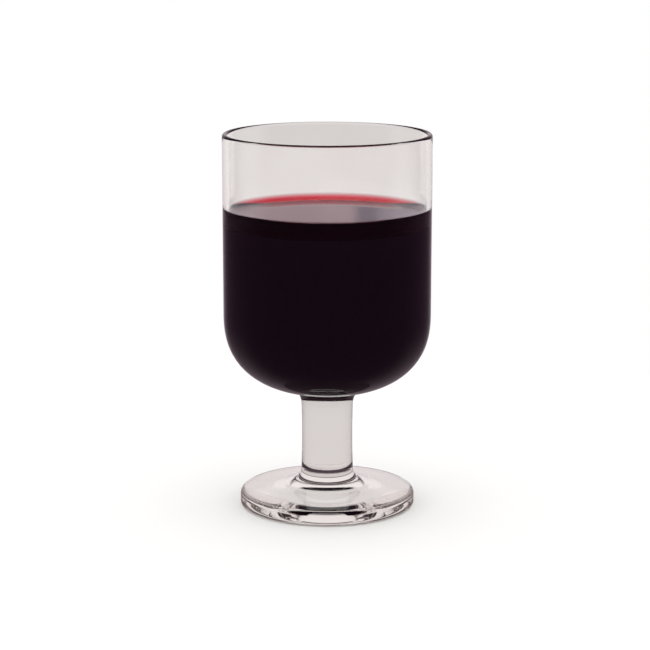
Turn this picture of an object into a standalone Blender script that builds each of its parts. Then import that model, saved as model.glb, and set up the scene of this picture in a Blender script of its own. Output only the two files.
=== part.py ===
"""A short-stemmed glass goblet, three quarters full of red wine.

The glass is one turned solid: foot, stem and bowl. The wine is a second solid that stands in the bowl.
Metres, +Z up. The origin is the middle of the foot's underside.
"""

import math

import bmesh
import bpy
from mathutils import Vector

# Driving dimensions
HEIGHT = 0.1360
BOWL_RADIUS = 0.0375
WALL = 0.0020
FOOT_RADIUS = 0.0318
STEM_RADIUS = 0.0092
LIQUID_TOP = 0.1096

# Foot: a thick disc with soft corners and a sloping top, hollow underneath inside the ring that it rests on
FOOT_EDGE = 0.0056
FOOT_TOP_CORNER = 0.0020
FOOT_BOTTOM_CORNER = 0.0011
FOOT_RISE = 0.0022
HOLLOW_RADIUS = 0.0265
HOLLOW_DEPTH = 0.0024

# Stem: narrowest at the waist, a little thicker at both ends, with a flare on the foot and one under the bowl
STEM_WAIST = 0.0256
STEM_END_SWELL = 0.0002
FOOT_FLARE_OUT = 0.0065
FOOT_FLARE_UP = 0.0058
FOOT_FLARE_POWER = 2.2
BOWL_FLARE_OUT = 0.0033
BOWL_FLARE_UP = 0.00505
BOWL_FLARE_POWER = 1.7
BOWL_FLARE_TOP = 0.04265

# Bowl: an upright wall on a rounded bottom, which is a superellipse inside and out
BOWL_BOTTOM = 0.0418
BOWL_STRAIGHT_FROM = 0.0713
BOWL_POWER = 2.47
BASE_THICKNESS = 0.0040

# Wine: it climbs the wall as a meniscus, and the clearance keeps its mesh apart from the glass
CAPILLARY_LENGTH = 0.0023
MENISCUS_RISE = 0.0024
MENISCUS_FADE = 0.00002
CLEARANCE = 0.0003

# Fineness of the turned meshes
SIDES = 64
CORNER_STEPS = 6
HOLLOW_STEPS = 6
FLARE_STEPS = 8
STEM_STEPS = 6
BOWL_STEPS = 13
MENISCUS_STEPS = 6
MERGE_DISTANCE = 1e-7
SHARP_ANGLE = 40.0


def clear_scene():
    for old in list(bpy.data.objects):
        bpy.data.objects.remove(old, do_unlink=True)


def clear_material(name, colour, roughness, ior, transmission):
    """A Principled material; both parts are dielectrics, so metallic stays 0."""
    material = bpy.data.materials.new(name)
    material.use_nodes = True
    shader = material.node_tree.nodes["Principled BSDF"]
    shader.inputs["Base Color"].default_value = (*colour, 1.0)
    shader.inputs["Metallic"].default_value = 0.0
    shader.inputs["Roughness"].default_value = roughness
    shader.inputs["IOR"].default_value = ior
    shader.inputs["Transmission Weight"].default_value = transmission
    return material


def arc(centre, radius, start, end):
    """Points (r, z) on a round corner, from start to end in degrees."""
    turn = [math.radians(start + (end - start) * i / CORNER_STEPS) for i in range(CORNER_STEPS + 1)]
    return [(centre[0] + radius * math.cos(t), centre[1] + radius * math.sin(t)) for t in turn]


def quarter(power, steps):
    """Points of a quarter of the superellipse x^n + y^n = 1, from (0, 1) to (1, 0)."""
    turn = [0.5 * math.pi * i / steps for i in range(steps + 1)]
    return [(math.sin(t) ** (2.0 / power), max(0.0, math.cos(t)) ** (2.0 / power)) for t in turn]


def rounded_bottom(radius, bottom):
    """Points (r, z) of the bowl's bottom, from the axis up to where the wall stands upright."""
    depth = BOWL_STRAIGHT_FROM - bottom
    return [(radius * x, BOWL_STRAIGHT_FROM - depth * y) for x, y in quarter(BOWL_POWER, BOWL_STEPS)]


def foot_profile(flare_centre):
    """Hollow underside and edge of the foot, from the axis outwards to its sloping top."""
    share = [i / HOLLOW_STEPS for i in range(HOLLOW_STEPS + 1)]
    hollow = [(HOLLOW_RADIUS * s, 0.5 * HOLLOW_DEPTH * (1.0 + math.cos(math.pi * s))) for s in share]
    bottom_centre = (FOOT_RADIUS - FOOT_BOTTOM_CORNER, FOOT_BOTTOM_CORNER)
    top_centre = (FOOT_RADIUS - FOOT_TOP_CORNER, FOOT_EDGE - FOOT_TOP_CORNER)
    lean = math.degrees(math.atan2(FOOT_RISE, top_centre[0] - flare_centre[0]))
    edge = arc(bottom_centre, FOOT_BOTTOM_CORNER, -90.0, 0.0)
    edge += arc(top_centre, FOOT_TOP_CORNER, 0.0, 90.0 - lean)
    return hollow + edge


def stem_profile(low, high):
    """Flare on the foot, waisted stem and the flare under the bowl; low and high are the flares' centres."""
    foot_flare = quarter(FOOT_FLARE_POWER, FLARE_STEPS)
    points = [(low[0] - FOOT_FLARE_OUT * x, low[1] - FOOT_FLARE_UP * y) for x, y in foot_flare]
    for i in range(1, STEM_STEPS):
        z = low[1] + (high[1] - low[1]) * i / STEM_STEPS
        end = low[1] if z < STEM_WAIST else high[1]
        points.append((STEM_RADIUS + STEM_END_SWELL * ((z - STEM_WAIST) / (end - STEM_WAIST)) ** 2, z))
    bowl_flare = quarter(BOWL_FLARE_POWER, FLARE_STEPS)[::-1]
    return points + [(high[0] - BOWL_FLARE_OUT * x, high[1] + BOWL_FLARE_UP * y) for x, y in bowl_flare]


def bowl_outside(start_radius):
    """Outer surface from the flare over the stem up to where the wall stands upright."""
    return [(r, z) for r, z in rounded_bottom(BOWL_RADIUS, BOWL_BOTTOM) if r > start_radius]


def lip():
    """Fire-polished rim, a half circle across the wall."""
    half = WALL / 2.0
    return arc((BOWL_RADIUS - half, HEIGHT - half), half, 0.0, 180.0)


def bowl_inside(clearance=0.0):
    """Inner surface from the axis up to where the wall stands upright."""
    return rounded_bottom(BOWL_RADIUS - WALL - clearance, BOWL_BOTTOM + BASE_THICKNESS + clearance)


def meniscus(radius):
    """Points (r, z) of the wine's surface, from the wall in to the axis.

    A liquid that wets an upright wall stands at height h over its level at the distance
    x = L (acosh(2 L / h) - sqrt(4 - (h / L)^2)), less the same expression at the wall.
    """

    def reach(height):
        share = height / CAPILLARY_LENGTH
        return CAPILLARY_LENGTH * (math.acosh(2.0 / share) - math.sqrt(4.0 - share**2))

    level = LIQUID_TOP - MENISCUS_RISE
    points = []
    for i in range(MENISCUS_STEPS + 1):
        height = MENISCUS_RISE * (MENISCUS_FADE / MENISCUS_RISE) ** (i / MENISCUS_STEPS)
        points.append((radius - reach(height) + reach(MENISCUS_RISE), level + height))
    return points + [(0.0, level)]


def turned(name, profile, material):
    """Turns a profile of (r, z) points, which starts and ends on the axis, into a closed solid."""
    mesh = bpy.data.meshes.new(name)
    form = bmesh.new()
    ring = [form.verts.new((r, 0.0, z)) for r, z in profile]
    edges = [form.edges.new(pair) for pair in zip(ring, ring[1:])]
    bmesh.ops.spin(
        form,
        geom=ring + edges,
        cent=Vector(),
        axis=Vector((0.0, 0.0, 1.0)),
        angle=math.tau,
        steps=SIDES,
        use_merge=True,
    )
    bmesh.ops.remove_doubles(form, verts=form.verts, dist=MERGE_DISTANCE)
    bmesh.ops.recalc_face_normals(form, faces=form.faces)
    form.to_mesh(mesh)
    form.free()
    mesh.materials.append(material)
    mesh.shade_smooth()
    mesh.set_sharp_from_angle(angle=math.radians(SHARP_ANGLE))
    solid = bpy.data.objects.new(name, mesh)
    bpy.context.scene.collection.objects.link(solid)
    return solid


def make_glass():
    clear_glass = clear_material("soda_lime_glass", (0.93, 0.92, 0.91), 0.0, 1.52, 1.0)
    inside = bowl_inside()[::-1]
    end_radius = STEM_RADIUS + STEM_END_SWELL
    low = (end_radius + FOOT_FLARE_OUT, FOOT_EDGE + FOOT_RISE + FOOT_FLARE_UP)
    high = (end_radius + BOWL_FLARE_OUT, BOWL_FLARE_TOP - BOWL_FLARE_UP)
    profile = foot_profile(low) + stem_profile(low, high) + bowl_outside(high[0]) + lip() + inside
    return turned("glass", profile, clear_glass)


def make_wine():
    red_wine = clear_material("red_wine", (0.045, 0.004, 0.012), 0.02, 1.34, 0.0)
    sides = bowl_inside(CLEARANCE)
    return turned("wine", sides + meniscus(sides[-1][0]), red_wine)


def main():
    clear_scene()
    glass = make_glass()
    wine = make_wine()
    wine.parent = glass


main()
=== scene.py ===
import math

import bpy
import numpy as np
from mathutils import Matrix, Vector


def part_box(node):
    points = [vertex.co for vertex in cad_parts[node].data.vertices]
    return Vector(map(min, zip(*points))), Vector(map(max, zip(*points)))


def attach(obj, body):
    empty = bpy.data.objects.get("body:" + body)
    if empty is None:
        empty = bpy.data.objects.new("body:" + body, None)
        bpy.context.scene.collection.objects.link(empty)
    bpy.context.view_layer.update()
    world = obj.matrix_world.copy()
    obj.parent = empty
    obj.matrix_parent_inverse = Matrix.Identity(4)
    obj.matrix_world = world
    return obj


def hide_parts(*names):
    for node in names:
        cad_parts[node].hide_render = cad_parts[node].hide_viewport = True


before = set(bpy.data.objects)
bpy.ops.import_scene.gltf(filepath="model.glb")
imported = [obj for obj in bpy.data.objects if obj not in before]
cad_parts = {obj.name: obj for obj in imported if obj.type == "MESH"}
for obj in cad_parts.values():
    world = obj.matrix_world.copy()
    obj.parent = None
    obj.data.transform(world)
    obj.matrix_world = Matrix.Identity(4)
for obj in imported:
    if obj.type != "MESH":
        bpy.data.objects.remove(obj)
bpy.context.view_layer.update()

# A short-stemmed goblet of red wine on a white studio table.
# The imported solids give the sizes: the goblet's height and width, and how high the wine stands.
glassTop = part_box("glass")[1]
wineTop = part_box("wine")[1]
mm = 0.001


def linearColour(hexColour):
    # sRGB hex to linear light: each channel over 12.92 when very dark, else ((c + 0.055) / 1.055) ^ 2.4
    channels = np.array([int(hexColour[i:i + 2], 16) for i in (1, 3, 5)]) / 255
    light = np.where(channels <= 0.04045, channels / 12.92, ((channels + 0.055) / 1.055) ** 2.4)
    return (*light.tolist(), 1.0)


def addNode(tree, kind, inputs=None, **settings):
    # A new node with its settings; each input is a plain value or the output socket that feeds it
    node = tree.nodes.new(kind)
    for name, value in settings.items():
        setattr(node, name, value)
    for name, value in (inputs or {}).items():
        if isinstance(value, bpy.types.NodeSocket):
            tree.links.new(value, node.inputs[name])
        else:
            node.inputs[name].default_value = value
    return node


def newMaterial(name):
    material = bpy.data.materials.new(name)
    material.use_nodes = True
    tree = material.node_tree
    tree.nodes.clear()
    return material, tree


# Camera: above the rim, looking down a little through a long lens
cameraSettings = {
    "distance": 0.7552,  # from the goblet's axis, metres
    "height": 0.2245,
    "aside": -0.0008,  # the goblet stands just right of the middle
    "pitchDown": 11.83,  # degrees
    "lens": 118.0,  # mm
    "sensor": 36.0,  # mm
    "clip": (0.01, 20.0),  # nearest and farthest, metres
}


def makeCamera(settings):
    data = bpy.data.cameras.new("camera")
    data.lens = settings["lens"]
    data.sensor_width = settings["sensor"]
    data.clip_start, data.clip_end = settings["clip"]
    camera = bpy.data.objects.new("camera", data)
    camera.location = (settings["aside"], -settings["distance"], settings["height"])
    camera.rotation_euler = (math.radians(90 - settings["pitchDown"]), 0, 0)
    bpy.context.scene.collection.objects.link(camera)
    bpy.context.scene.camera = camera


makeCamera(cameraSettings)
print("camera placed")


# Shapes. An outline is a list of points (r, z), radius and height, that is turned round the axis.
samePlace = 1e-7  # metres; points nearer than this are one
sharpFrom = 35  # degrees between two faces, from which their edge stays sharp


def arc(centre, radius, start, end, count):
    # Centre plus radius times (cos a, sin a), for angles a from start to end in degrees
    turn = np.radians(np.linspace(start, end, count))
    return np.column_stack([centre[0] + radius * np.cos(turn), centre[1] + radius * np.sin(turn)])


def straight(start, end, count):
    # Start times (1 - s) plus end times s, for s from 0 to 1
    share = np.linspace(0, 1, count)[:, None]
    return np.asarray(start) * (1 - share) + np.asarray(end) * share


def roundedBottom(radius, bottom, top, power, count):
    # Superellipse, for a from 0 to a right angle:
    # r = R sin(a)^(2/n) and z = top - (top - bottom) cos(a)^(2/n)
    turn = np.linspace(0, np.pi / 2, count)
    out = np.sin(turn) ** (2 / power)
    down = np.clip(np.cos(turn), 0, 1) ** (2 / power)
    return np.column_stack([radius * out, top - (top - bottom) * down])


def hollowCorner(centre, across, up, power, count):
    # Quarter of a superellipse, from straight below (or over) its centre round to the side nearer the axis:
    # r = rc - across sin(a)^(2/n) and z = zc - up cos(a)^(2/n)
    turn = np.linspace(0, np.pi / 2, count)
    inward = np.sin(turn) ** (2 / power)
    away = np.clip(np.cos(turn), 0, 1) ** (2 / power)
    return np.column_stack([centre[0] - across * inward, centre[1] - up * away])


def joined(*stretches):
    # Stretches end to end, without the points that two of them share
    line = np.vstack(stretches)
    apart = np.linalg.norm(np.diff(line, axis=0), axis=1) > samePlace
    return line[np.concatenate([[True], apart])]


def turnedSurface(name, outline, sides, swell=None):
    # Point (i, j) is outline point i carried round the axis to angle j: (r cos t, r sin t, z).
    # The first and last outline points lie on the axis and become single poles.
    turn = np.linspace(0, 2 * np.pi, sides, endpoint=False)
    height = outline[1:-1, 1:2]
    radius = outline[1:-1, 0:1] * np.ones_like(turn)[None, :]
    if swell is not None:
        radius = radius + swell(radius, height, turn[None, :])
    grid = np.stack([radius * np.cos(turn), radius * np.sin(turn), height + 0 * radius], axis=-1)
    poles = np.array([[0, 0, outline[0, 1]], [0, 0, outline[-1, 1]]])
    points = np.vstack([grid.reshape(-1, 3), poles])
    rows = len(outline) - 2
    here = np.arange(rows - 1)[:, None] * sides + np.arange(sides)[None, :]
    beside = np.arange(rows - 1)[:, None] * sides + (np.arange(sides)[None, :] + 1) % sides
    quads = np.stack([here, beside, beside + sides, here + sides], axis=-1).reshape(-1, 4)
    first = np.arange(sides)
    second = (first + 1) % sides
    lastRow = (rows - 1) * sides
    startFan = np.column_stack([second, first, np.full(sides, rows * sides)])
    endFan = np.column_stack([first + lastRow, second + lastRow, np.full(sides, rows * sides + 1)])
    mesh = bpy.data.meshes.new(name)
    mesh.from_pydata(points.tolist(), [], quads.tolist() + startFan.tolist() + endFan.tolist())
    mesh.validate()
    mesh.shade_smooth()
    mesh.set_sharp_from_angle(angle=math.radians(sharpFrom))
    piece = bpy.data.objects.new(name, mesh)
    bpy.context.scene.collection.objects.link(piece)
    return piece


def markFaces(piece, name, rule):
    # Keeps what the rule gives for the faces' centres and normals as a face attribute for the material
    faces = piece.data.polygons
    centres, normals = np.zeros(3 * len(faces)), np.zeros(3 * len(faces))
    faces.foreach_get("center", centres)
    faces.foreach_get("normal", normals)
    share = rule(centres.reshape(-1, 3), normals.reshape(-1, 3)).astype(np.float32)
    piece.data.attributes.new(name, "FLOAT", "FACE").data.foreach_set("value", share)


# Goblet
goblet = {
    "wall": 2.0 * mm,
    "footRadius": 31.8 * mm,
    "footEdge": 5.6 * mm,  # height of the foot at its edge
    "footBottomCorner": 1.1 * mm,
    "footTopCorner": 2.0 * mm,
    "footRise": 2.2 * mm,  # how much the foot's top climbs to the stem's flare
    "hollowRadius": 26.5 * mm,  # the underside is hollow inside the ring that it rests on
    "hollowDepth": 2.4 * mm,
    "stemRadius": 9.2 * mm,
    "stemWaist": 25.6 * mm,  # height at which the stem is thinnest
    "stemEndSwell": 0.2 * mm,  # the stem is this much thicker at both ends
    "footFlare": (6.5 * mm, 5.8 * mm, 2.2),  # out, up, and the power of its superellipse
    "bowlFlare": (3.3 * mm, 5.05 * mm, 1.7),
    "bowlFlareTop": 42.65 * mm,
    "bowlBottom": 41.8 * mm,
    "bowlStraightFrom": 71.3 * mm,
    "bowlPower": 2.47,
    "base": 4.0 * mm,  # glass under the wine, on the axis
    "unevenness": 0.03 * mm,  # of the inside of the wall, left by the mould and the fire
    "waves": ((3, 1.0, 0.6), (5, 0.7, 2.1), (8, 0.5, 4.0)),  # times round the bowl, share, starting angle
    "wavesFadeIn": 20.0 * mm,  # above the rounded bottom
    "wavesEnd": 3.0 * mm,  # below the rim
    "wavesFadeOut": 10.0 * mm,
    "sides": 192,
    "points": {  # on each stretch of the outline
        "hollow": 40,
        "ring": 4,
        "bottomCorner": 12,
        "topCorner": 18,
        "footTop": 12,
        "flare": 40,
        "stem": 30,
        "outside": 80,
        "wall": 16,
        "lip": 48,
        "dryWall": 12,
        "wettedWall": 16,
        "inside": 70,
    },
}


def gobletInside(g, reach=0.0):
    # Inner surface from the axis to the upright wall; reach carries it that far into the glass
    radius = glassTop.x - g["wall"] + reach
    bottom = g["bowlBottom"] + g["base"] - reach
    return roundedBottom(radius, bottom, g["bowlStraightFrom"], g["bowlPower"], g["points"]["inside"])


def gobletOutline(g):
    # From the middle of the underside out round the foot, up the stem and the bowl,
    # over the lip and down the inside
    points = g["points"]
    lowCorner = (g["footRadius"] - g["footBottomCorner"], g["footBottomCorner"])
    topCorner = (g["footRadius"] - g["footTopCorner"], g["footEdge"] - g["footTopCorner"])
    endRadius = g["stemRadius"] + g["stemEndSwell"]
    footOut, footUp, footPower = g["footFlare"]
    bowlOut, bowlUp, bowlPower = g["bowlFlare"]
    low = (endRadius + footOut, g["footEdge"] + g["footRise"] + footUp)
    high = (endRadius + bowlOut, g["bowlFlareTop"] - bowlUp)
    lean = math.degrees(math.atan2(g["footRise"], topCorner[0] - low[0]))
    # The hollow is half a cosine wave: z = depth (1 + cos(pi r / R)) / 2
    r = np.linspace(0, g["hollowRadius"], points["hollow"])
    hollow = np.column_stack([r, g["hollowDepth"] * (1 + np.cos(np.pi * r / g["hollowRadius"])) / 2])
    edge = joined(
        hollow,
        straight(hollow[-1], (lowCorner[0], 0), points["ring"]),
        arc(lowCorner, g["footBottomCorner"], -90, 0, points["bottomCorner"]),
        arc(topCorner, g["footTopCorner"], 0, 90 - lean, points["topCorner"]),
    )
    footTop = straight(edge[-1], (low[0], low[1] - footUp), points["footTop"])
    footFlare = hollowCorner(low, footOut, footUp, footPower, points["flare"])
    # The stem swells with the square of the way from its waist to either end
    z = np.linspace(low[1], high[1], points["stem"])
    below = np.clip((g["stemWaist"] - z) / (g["stemWaist"] - low[1]), 0, 1) ** 2
    above = np.clip((z - g["stemWaist"]) / (high[1] - g["stemWaist"]), 0, 1) ** 2
    stem = np.column_stack([g["stemRadius"] + g["stemEndSwell"] * (below + above), z])
    bowlFlare = hollowCorner(high, bowlOut, -bowlUp, bowlPower, points["flare"])[::-1]
    radius = glassTop.x
    outside = roundedBottom(
        radius, g["bowlBottom"], g["bowlStraightFrom"], g["bowlPower"], points["outside"],
    )
    outside = outside[outside[:, 0] > high[0]]
    half = g["wall"] / 2
    wall = straight(outside[-1], (radius, glassTop.z - half), points["wall"])
    lip = arc((radius - half, glassTop.z - half), half, 0, 180, points["lip"])
    inside = gobletInside(g)[::-1]
    wineLine = (inside[0, 0], wineTop.z)
    innerWall = joined(
        straight(lip[-1], wineLine, points["dryWall"]),
        straight(wineLine, inside[0], points["wettedWall"]),
    )
    return joined(edge, footTop, footFlare, stem, bowlFlare, outside, wall, lip, innerWall, inside)


def wallUnevenness(radius, z, turn):
    # Slow sine waves round the inside of the bowl, faded in above the bottom and out under the lip.
    # Nearer the axis than the wall they fade with the square of the radius.
    waves = sum(share * np.sin(times * turn + start) for times, share, start in goblet["waves"])
    onInside = radius < glassTop.x - 0.9 * goblet["wall"]
    inside = (radius / (glassTop.x - goblet["wall"])) ** 2 * onInside
    climb = np.clip((z - goblet["bowlStraightFrom"]) / goblet["wavesFadeIn"], 0, 1)
    under = np.clip((glassTop.z - goblet["wavesEnd"] - z) / goblet["wavesFadeOut"], 0, 1)
    return goblet["unevenness"] * waves * climb * under * inside


def wettedGlass(centres, normals):
    # True on the inside of the bowl up to the wine's edge: there the normals lean inwards or upwards
    outwards = np.sum(centres[:, :2] * normals[:, :2], axis=1) / np.linalg.norm(centres[:, :2], axis=1)
    height = centres[:, 2]
    inBowl = height > goblet["bowlBottom"] + 1 * mm
    return (outwards < normals[:, 2]) & (height < wineTop.z) & inBowl


glassBody = turnedSurface("glassBody", gobletOutline(goblet), goblet["sides"], wallUnevenness)
markFaces(glassBody, "wetted", wettedGlass)
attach(glassBody, "root")
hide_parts("glass")
print("goblet made")


# Wine: an opaque core, and over it the clear upper layer that light still passes
wine = {
    "reach": 0.05 * mm,  # into the wall of the glass, so that no air shows between them
    "capillaryLength": 2.3 * mm,
    "meniscusRise": 2.4 * mm,  # from the level up to where the wine ends on the wall
    "meniscusFade": 0.02 * mm,  # height over the level at which the curve ends
    "layerDepth": 1.0 * mm,  # clear wine over the core, in the middle
    "edgeDepth": 3.5 * mm,  # and at the wall
    "edgeWidth": 8.0 * mm,
    "overlap": 0.5 * mm,  # the layer's underside lies this far inside the core
    "meniscusLean": 0.1,  # the upward part of a normal is more than this on the meniscus, less on the sides
    "sides": 192,
    "points": {"meniscus": 60, "coreTop": 60, "side": 24, "level": 24},  # on each stretch of the outline
}


def meniscusLine(w, radius):
    # A liquid wetting an upright wall stands h over its level at the distance
    # x = L (acosh(2 L / h) - sqrt(4 - (h / L)^2)) from a fixed upright line; the line runs wall to axis.
    length = w["capillaryLength"]
    h = np.geomspace(w["meniscusRise"], w["meniscusFade"], w["points"]["meniscus"])
    x = length * (np.arccosh(2 * length / h) - np.sqrt(4 - (h / length) ** 2))
    level = wineTop.z - w["meniscusRise"]
    return np.column_stack([radius - (x - x[0]), level + h])


def coreTop(w, drop=0.0):
    # The core's top, axis to wall: flat under the layer, then sinking as the square of the way to the wall
    wallRadius = glassTop.x - goblet["wall"] + w["reach"]
    r = np.linspace(0, wallRadius, w["points"]["coreTop"])
    way = np.clip((r - (wallRadius - w["edgeWidth"])) / w["edgeWidth"], 0, 1) ** 2
    level = wineTop.z - w["meniscusRise"]
    z = level - w["layerDepth"] - (w["edgeDepth"] - w["layerDepth"]) * way - drop
    return np.column_stack([r, z])


def coreOutline(w):
    # Axis, bottom and side of the bowl, then back over the core's top
    sides = gobletInside(goblet, w["reach"])
    top = coreTop(w)[::-1]
    return joined(sides, straight(sides[-1], top[0], w["points"]["side"]), top)


def layerOutline(w):
    # Underside, side, meniscus and level; the meniscus goes on a little way into the glass
    innerRadius = glassTop.x - goblet["wall"]
    under = coreTop(w, w["overlap"])
    surface = meniscusLine(w, innerRadius)
    lean = (surface[0] - surface[1]) / (surface[0, 0] - surface[1, 0])
    inGlass = surface[0] + lean * w["reach"]
    middle = (0.0, surface[-1][1])
    side = straight(under[-1], inGlass, w["points"]["side"])
    return joined(under, side, surface, straight(surface[-1], middle, w["points"]["level"]))


def wettedWine(centres, normals):
    # True on the layer's sides and underside, where it meets glass or the core
    return normals[:, 2] < wine["meniscusLean"]


wineCore = turnedSurface("wineCore", coreOutline(wine), wine["sides"], wallUnevenness)
wineLayer = turnedSurface("wineLayer", layerOutline(wine), wine["sides"], wallUnevenness)
markFaces(wineLayer, "wetted", wettedWine)
for piece in (wineCore, wineLayer):
    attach(piece, "root")
    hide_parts("wine")
print("wine poured")

# Soda-lime glass, pressed and fire-polished: clear, with a faint warm grey that shows where it is thick
glassLook = {
    "tint": "#fefdfd",
    "tintDeep": "#f9f5f4",
    "streakSize": 26.0,  # mm from one soft zone to the next
    "ior": 1.52,
    "roughness": 0.0,
    "greyColour": "#e6e2df",
    "greyDensity": 19.0,  # absorption: (1 - colour) x density for each metre
    "rippleSize": 14.0,  # mm, slow ripples left by the mould
    "rippleHeight": 0.004,  # mm
}


def dryMirror(tree):
    # Glass and wine mirror where they meet air, and hardly at all where they meet each other
    wetted = addNode(tree, "ShaderNodeAttribute", attribute_name="wetted").outputs["Fac"]
    inputs = {"Factor": wetted, "A": linearColour("#ffffff"), "B": linearColour("#000000")}
    return addNode(tree, "ShaderNodeMix", inputs, data_type="RGBA").outputs["Result"]


def sodaLimeGlass(look):
    material, tree = newMaterial("pressedSodaLimeGlass")
    place = addNode(tree, "ShaderNodeTexCoord").outputs["Object"]
    streaks = addNode(
        tree, "ShaderNodeTexNoise",
        {"Vector": place, "Scale": 1000 / look["streakSize"], "Detail": 1.0, "Roughness": 0.4},
    )
    tints = {"A": linearColour(look["tint"]), "B": linearColour(look["tintDeep"])}
    tint = addNode(tree, "ShaderNodeMix", {"Factor": streaks.outputs["Fac"], **tints}, data_type="RGBA")
    ripples = addNode(
        tree, "ShaderNodeTexNoise",
        {"Vector": place, "Scale": 1000 / look["rippleSize"], "Detail": 0.0},
    )
    bump = addNode(
        tree, "ShaderNodeBump",
        {"Height": ripples.outputs["Fac"], "Distance": look["rippleHeight"] * mm, "Strength": 1.0},
    )
    surface = addNode(
        tree, "ShaderNodeBsdfPrincipled",
        {
            "Base Color": tint.outputs["Result"],
            "Roughness": look["roughness"],
            "IOR": look["ior"],
            "Specular Tint": dryMirror(tree),
            "Transmission Weight": 1.0,
            "Normal": bump.outputs["Normal"],
        },
    )
    grey = addNode(
        tree, "ShaderNodeVolumeAbsorption",
        {"Color": linearColour(look["greyColour"]), "Density": look["greyDensity"]},
    )
    addNode(
        tree, "ShaderNodeOutputMaterial",
        {"Surface": surface.outputs["BSDF"], "Volume": grey.outputs["Volume"]},
    )
    return material


# Young red wine: clear, but so strong in colour that it is rose where it thins to nothing,
# a full red from about 2 mm on and nearly black in the depth of the bowl
wineLook = {
    "ior": 1.34,
    "tint": "#fffdfd",
    "colour": "#f84b79",  # of light after a short way; (1 - colour) x density is lost for each metre
    "density": 1500.0,
    "deep": "#160b13",  # the core low in the bowl
    "edge": "#190c16",  # and right under the clear layer: lighter and redder, painted light shining through the thinner wine near the top
    "edgeBand": 12.0 * mm,  # below the wine's edge, where the painted light fades into the deep colour
    "coreRoughness": 0.12,
}


def redWine(look):
    # The upper layer: clear, with all its colour in its depth
    material, tree = newMaterial("redWineClear")
    surface = addNode(
        tree, "ShaderNodeBsdfPrincipled",
        {
            "Base Color": linearColour(look["tint"]),
            "Roughness": 0.0,
            "IOR": look["ior"],
            "Specular Tint": dryMirror(tree),
            "Transmission Weight": 1.0,
        },
    )
    depth = addNode(
        tree, "ShaderNodeVolumeAbsorption",
        {"Color": linearColour(look["colour"]), "Density": look["density"]},
    )
    addNode(
        tree, "ShaderNodeOutputMaterial",
        {"Surface": surface.outputs["BSDF"], "Volume": depth.outputs["Volume"]},
    )
    return material


def redWineDeep(look):
    # The core: wine too deep to see into, without a mirror of its own because it wets the glass
    material, tree = newMaterial("redWineDeep")
    place = addNode(tree, "ShaderNodeTexCoord").outputs["Object"]
    # Colour by height: the deep wine's own near-black low down, and towards the top a painted light,
    # lighter and redder, for light shining through the thinner wine
    height = addNode(tree, "ShaderNodeSeparateXYZ", {"Vector": place}).outputs["Z"]
    band = {"From Min": wineTop.z - look["edgeBand"], "From Max": wineTop.z}
    near = addNode(tree, "ShaderNodeMapRange", {"Value": height, **band}).outputs["Result"]
    colours = {"A": linearColour(look["deep"]), "B": linearColour(look["edge"])}
    colour = addNode(tree, "ShaderNodeMix", {"Factor": near, **colours}, data_type="RGBA")
    surface = addNode(
        tree, "ShaderNodeBsdfPrincipled",
        {
            "Base Color": colour.outputs["Result"],
            "Roughness": look["coreRoughness"],
            "IOR": look["ior"],
            "Specular IOR Level": 0.0,
        },
    )
    addNode(tree, "ShaderNodeOutputMaterial", {"Surface": surface.outputs["BSDF"]})
    return material


glassBody.data.materials.append(sodaLimeGlass(glassLook))
wineLayer.data.materials.append(redWine(wineLook))
wineCore.data.materials.append(redWineDeep(wineLook))
print("materials made")

# Table: a round white top of matt laminate, which takes a soft shadow and mirrors nothing
tableTop = {
    "radius": 0.25,
    "sides": 128,
    "gap": 0.2 * mm,  # between foot and table, so that their faces stay apart
    "colour": "#f2f1ef",
    "roughness": 0.7,
    "grainSize": 1.5,  # mm
    "grainHeight": 0.01,  # mm
}


def mattWhiteLaminate(t):
    material, tree = newMaterial("mattWhiteLaminate")
    place = addNode(tree, "ShaderNodeTexCoord").outputs["Object"]
    grain = addNode(tree, "ShaderNodeTexNoise", {"Vector": place, "Scale": 1000 / t["grainSize"]})
    relief = {"Height": grain.outputs["Fac"], "Distance": t["grainHeight"] * mm}
    bump = addNode(tree, "ShaderNodeBump", relief)
    surface = addNode(
        tree, "ShaderNodeBsdfPrincipled",
        {
            "Base Color": linearColour(t["colour"]),
            "Roughness": t["roughness"],
            "Normal": bump.outputs["Normal"],
        },
    )
    addNode(tree, "ShaderNodeOutputMaterial", {"Surface": surface.outputs["BSDF"]})
    return material


def makeTable(t):
    # One flat face: radius times (cos t, sin t), just below the foot
    turn = np.linspace(0, 2 * np.pi, t["sides"], endpoint=False)
    rim = t["radius"] * np.column_stack([np.cos(turn), np.sin(turn), 0 * turn])
    rim[:, 2] = -t["gap"]
    mesh = bpy.data.meshes.new("tableTop")
    mesh.from_pydata(rim.tolist(), [], [list(range(len(turn)))])
    table = bpy.data.objects.new("tableTop", mesh)
    bpy.context.scene.collection.objects.link(table)
    mesh.materials.append(mattWhiteLaminate(t))
    table.visible_glossy = False  # the glass shows the studio's own light from below instead
    table.visible_transmission = False


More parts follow.
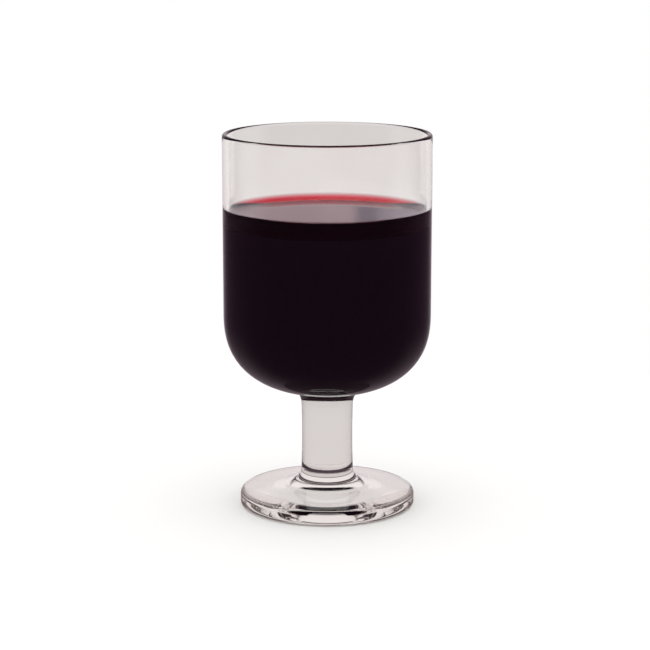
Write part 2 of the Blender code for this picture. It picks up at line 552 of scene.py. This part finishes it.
# Studio: soft light from everywhere, brightest behind the glass, and a dark card right of the middle.
# Each light is a colour and a strength. Each edge says where a light begins and where it is full,
# along one axis of the direction it comes from: X to the right, Y away from the camera, Z up.
studio = {
    "background": "#ffffff",
    "bounces": 64,  # light stays long in the rim and in the foot
    # What falls on the table, straight or through the glass
    "tableLight": ("#ffffff", 1.35),
    "tableThroughGlass": ("#fffbf9", 0.95),
    # What shows through the glass: through one wall, stem or foot, through both walls, and low down
    "throughOneWall": ("#fffcfa", 0.76),
    "throughTwoWalls": ("#fffdfc", 0.96),
    "throughBelow": ("#fffbf9", 0.82),
    "throughBelowEdge": (-0.18, -0.24),
    # What the outside mirrors: light behind, dim in front, lighter again low behind
    "mirrorBack": ("#f0e2e6", 0.85),
    "mirrorFront": ("#684a61", 0.62),
    "mirrorPower": 14.0,  # how fast it falls off away from the back
    "mirrorBelow": ("#9c8c94", 0.85),
    "mirrorBelowEdge": (-0.1, -0.7),
    "mirrorBelowDepth": (0.0, 0.9),
    # What is mirrored inside the glass: light at the back, dark in front, dim straight up and down
    "bouncedBack": ("#fdfaf9", 1.1),
    "bouncedFront": ("#1c1418", 1.0),
    "bouncedEdge": (-0.4, 0.1),
    "bouncedSteep": ("#54464e", 1.0),
    "steepUpEdge": (0.68, 0.8),
    "steepDownEdge": (-0.45, -0.6),
    "farBackEdge": (0.8, 0.9),  # for light that has also crossed both walls
    # What the wine's surface mirrors through the back wall, from left to right
    "wineMirrorLeft": ("#eef0fc", 1.0),
    "wineMirror": ("#ffe6ee", 0.97),
    "wineMirrorCard": ("#d2c4d2", 0.8),
    "wineMirrorRight": ("#feeefd", 0.8),
    "wineMirrorEnd": ("#e6deff", 0.36),
    "leftEdge": (-0.095, -0.125),
    "cardLeftEdge": (0.016, 0.034),
    "cardRightEdge": (0.068, 0.042),
    "rightEdge": (0.03, 0.04),
    "endEdge": (0.1, 0.12),
    "horizonEdge": (0.0, 0.05),
}


def makeWorld(s):
    # Lamps and cards as photographers set them: the table gets even light, glass shows a light backdrop
    # through itself, and what it mirrors is bright behind and dark in front
    world = bpy.data.worlds.new("studio")
    world.use_nodes = True
    tree = world.node_tree
    tree.nodes.clear()
    way = addNode(tree, "ShaderNodeTexCoord").outputs["Generated"]
    axes = addNode(tree, "ShaderNodeSeparateXYZ", {"Vector": way}).outputs
    path = addNode(tree, "ShaderNodeLightPath").outputs

    def blendOf(share, first, second):
        inputs = {"Factor": share, "A": first, "B": second}
        return addNode(tree, "ShaderNodeMix", inputs, data_type="RGBA").outputs["Result"]

    def ramp(value, low, high):
        inputs = {"Value": value, "From Min": low, "From Max": high}
        smooth = addNode(tree, "ShaderNodeMapRange", inputs, interpolation_type="SMOOTHSTEP")
        return smooth.outputs["Result"]

    def beyond(axis, edge):
        # 0 before the edge, 1 past it
        return ramp(axes[axis], *s[edge])

    def counted(depth, times):
        # 1 for light that has done it at least that many times, else 0
        return ramp(path[depth], times - 1.0, float(times))

    def lit(name):
        hexColour, strength = s[name]
        return (*(strength * c for c in linearColour(hexColour)[:3]), 1.0)

    def compute(operation, first, second):
        return addNode(tree, "ShaderNodeMath", {0: first, 1: second}, operation=operation).outputs[0]

    bounced = counted("Glossy Depth", 1)
    passed = counted("Transmission Depth", 1)
    passedBoth = counted("Transmission Depth", 4)  # both walls have two faces each

    # Mirrored by the outside
    towardsBack = compute("POWER", compute("MAXIMUM", axes["Y"], 0.0), s["mirrorPower"])
    fromBelow = compute("MULTIPLY", beyond("Z", "mirrorBelowEdge"), beyond("Y", "mirrorBelowDepth"))
    mirrored = blendOf(fromBelow, lit("mirrorFront"), lit("mirrorBelow"))
    mirrored = blendOf(towardsBack, mirrored, lit("mirrorBack"))

    # Mirrored inside the glass, or by the wine and then out through the back wall
    upward = compute("MULTIPLY", passedBoth, beyond("Z", "horizonEdge"))
    behind = compute("MULTIPLY", passedBoth, beyond("Y", "farBackEdge"))
    steep = compute("MAXIMUM", beyond("Z", "steepUpEdge"), beyond("Z", "steepDownEdge"))
    inner = blendOf(beyond("Y", "bouncedEdge"), lit("bouncedFront"), lit("bouncedBack"))
    inner = blendOf(steep, inner, lit("bouncedSteep"))
    inner = blendOf(passedBoth, inner, lit("bouncedFront"))
    inner = blendOf(behind, inner, lit("bouncedBack"))
    darkCard = compute("MULTIPLY", beyond("X", "cardLeftEdge"), beyond("X", "cardRightEdge"))
    overWine = blendOf(beyond("X", "rightEdge"), lit("wineMirror"), lit("wineMirrorRight"))
    overWine = blendOf(beyond("X", "endEdge"), overWine, lit("wineMirrorEnd"))
    overWine = blendOf(darkCard, overWine, lit("wineMirrorCard"))
    overWine = blendOf(beyond("X", "leftEdge"), overWine, lit("wineMirrorLeft"))
    inner = blendOf(upward, inner, overWine)
    reflected = blendOf(passed, mirrored, inner)

    # Seen through the glass
    through = blendOf(passedBoth, lit("throughOneWall"), lit("throughTwoWalls"))
    through = blendOf(beyond("Z", "throughBelowEdge"), through, lit("throughBelow"))

    specular = compute("MAXIMUM", path["Is Glossy Ray"], path["Is Transmission Ray"])
    onTable = blendOf(passed, lit("tableLight"), lit("tableThroughGlass"))
    shown = blendOf(bounced, through, reflected)
    shown = blendOf(specular, onTable, shown)
    shown = blendOf(counted("Diffuse Depth", 1), shown, onTable)
    shown = blendOf(path["Is Camera Ray"], shown, linearColour(s["background"]))
    light = addNode(tree, "ShaderNodeBackground", {"Color": shown, "Strength": 1.0})
    addNode(tree, "ShaderNodeOutputWorld", {"Surface": light.outputs["Background"]})
    bpy.context.scene.world = world


makeTable(tableTop)
makeWorld(studio)
scene = bpy.context.scene
scene.view_settings.view_transform = "Standard"
scene.cycles.max_bounces = studio["bounces"]
scene.cycles.glossy_bounces = studio["bounces"]
scene.cycles.transmission_bounces = studio["bounces"]
print("studio lit")
